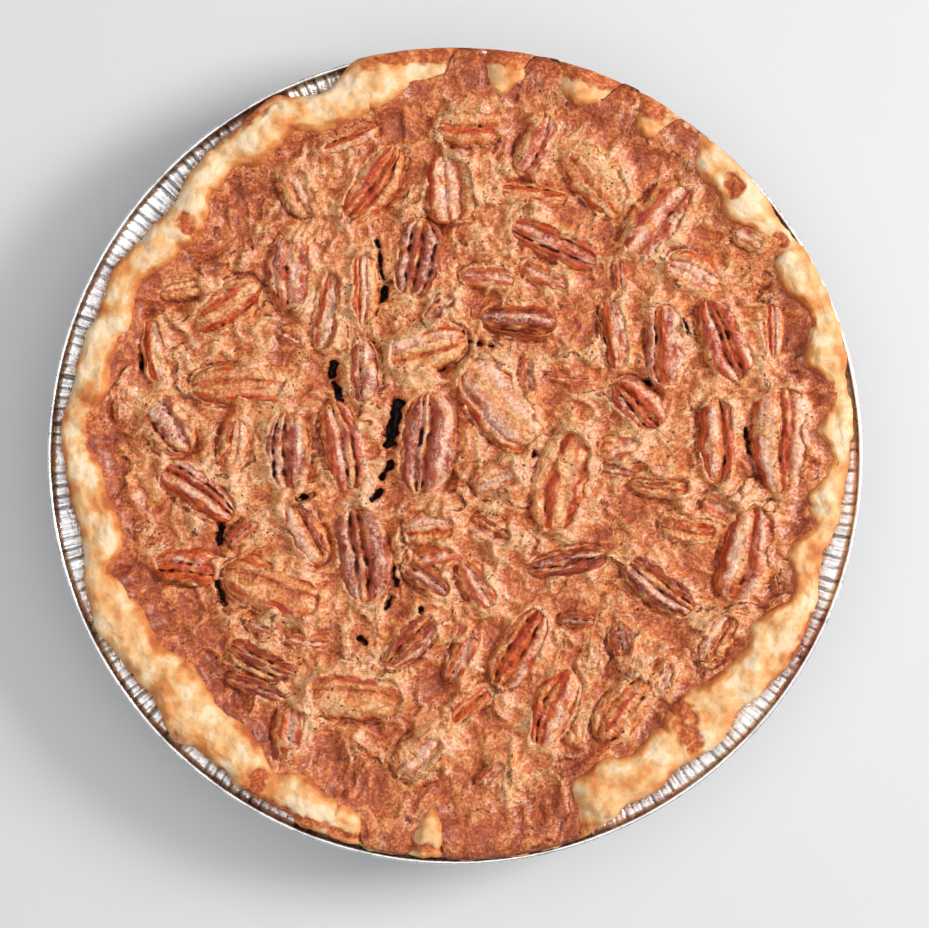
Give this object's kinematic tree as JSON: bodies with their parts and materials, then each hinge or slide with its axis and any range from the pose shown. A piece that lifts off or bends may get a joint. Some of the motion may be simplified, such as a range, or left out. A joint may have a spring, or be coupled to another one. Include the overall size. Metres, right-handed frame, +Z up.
{
  "type": "pecan pie",
  "caption": "Whole uncut pecan pie in its own pleated foil tin: hand-crimped pale crust, amber filling set around scattered pecan halves",
  "frame": {"origin": "on the underside of the tin, in the middle of its rim circle", "axes": "+Z is up, out of the pie's top; +X is to the right and +Y is to the top of the pie seen from straight above, as shown"},
  "size_m": [0.24, 0.24, 0.0364],
  "materials": {
    "foil": "bright pressed foil",
    "pastry": "dry baked pastry, pale cream to orange-brown",
    "filling": "satin baked custard, frothy and speckled",
    "pecan": "glazed nut, coated with filling in places"
  },
  "bodies": {
    "root": {"tin": "foil", "crust": "pastry", "filling": "filling", "pecan_01": "pecan", "pecan_02": "pecan", "pecan_03": "pecan", "pecan_04": "pecan", "pecan_05": "pecan", "pecan_06": "pecan", "pecan_07": "pecan", "pecan_08": "pecan", "pecan_09": "pecan", "pecan_10": "pecan", "pecan_11": "pecan", "pecan_12": "pecan", "pecan_13": "pecan", "pecan_14": "pecan", "pecan_15": "pecan", "pecan_16": "pecan", "pecan_17": "pecan", "pecan_18": "pecan", "pecan_19": "pecan", "pecan_20": "pecan", "pecan_21": "pecan", "pecan_22": "pecan", "pecan_23": "pecan", "pecan_24": "pecan", "pecan_25": "pecan", "pecan_26": "pecan", "pecan_27": "pecan", "pecan_28": "pecan", "pecan_29": "pecan", "pecan_30": "pecan", "pecan_31": "pecan", "pecan_32": "pecan", "pecan_33": "pecan", "pecan_34": "pecan", "pecan_35": "pecan", "pecan_36": "pecan", "pecan_37": "pecan", "pecan_38": "pecan", "pecan_39": "pecan", "pecan_40": "pecan", "pecan_41": "pecan", "pecan_42": "pecan", "pecan_43": "pecan", "pecan_44": "pecan", "pecan_45": "pecan", "pecan_46": "pecan", "pecan_47": "pecan", "pecan_48": "pecan", "pecan_49": "pecan", "pecan_50": "pecan", "pecan_51": "pecan", "pecan_52": "pecan", "pecan_53": "pecan", "pecan_54": "pecan", "pecan_55": "pecan", "pecan_56": "pecan", "pecan_57": "pecan"}
  },
  "joints": []
}
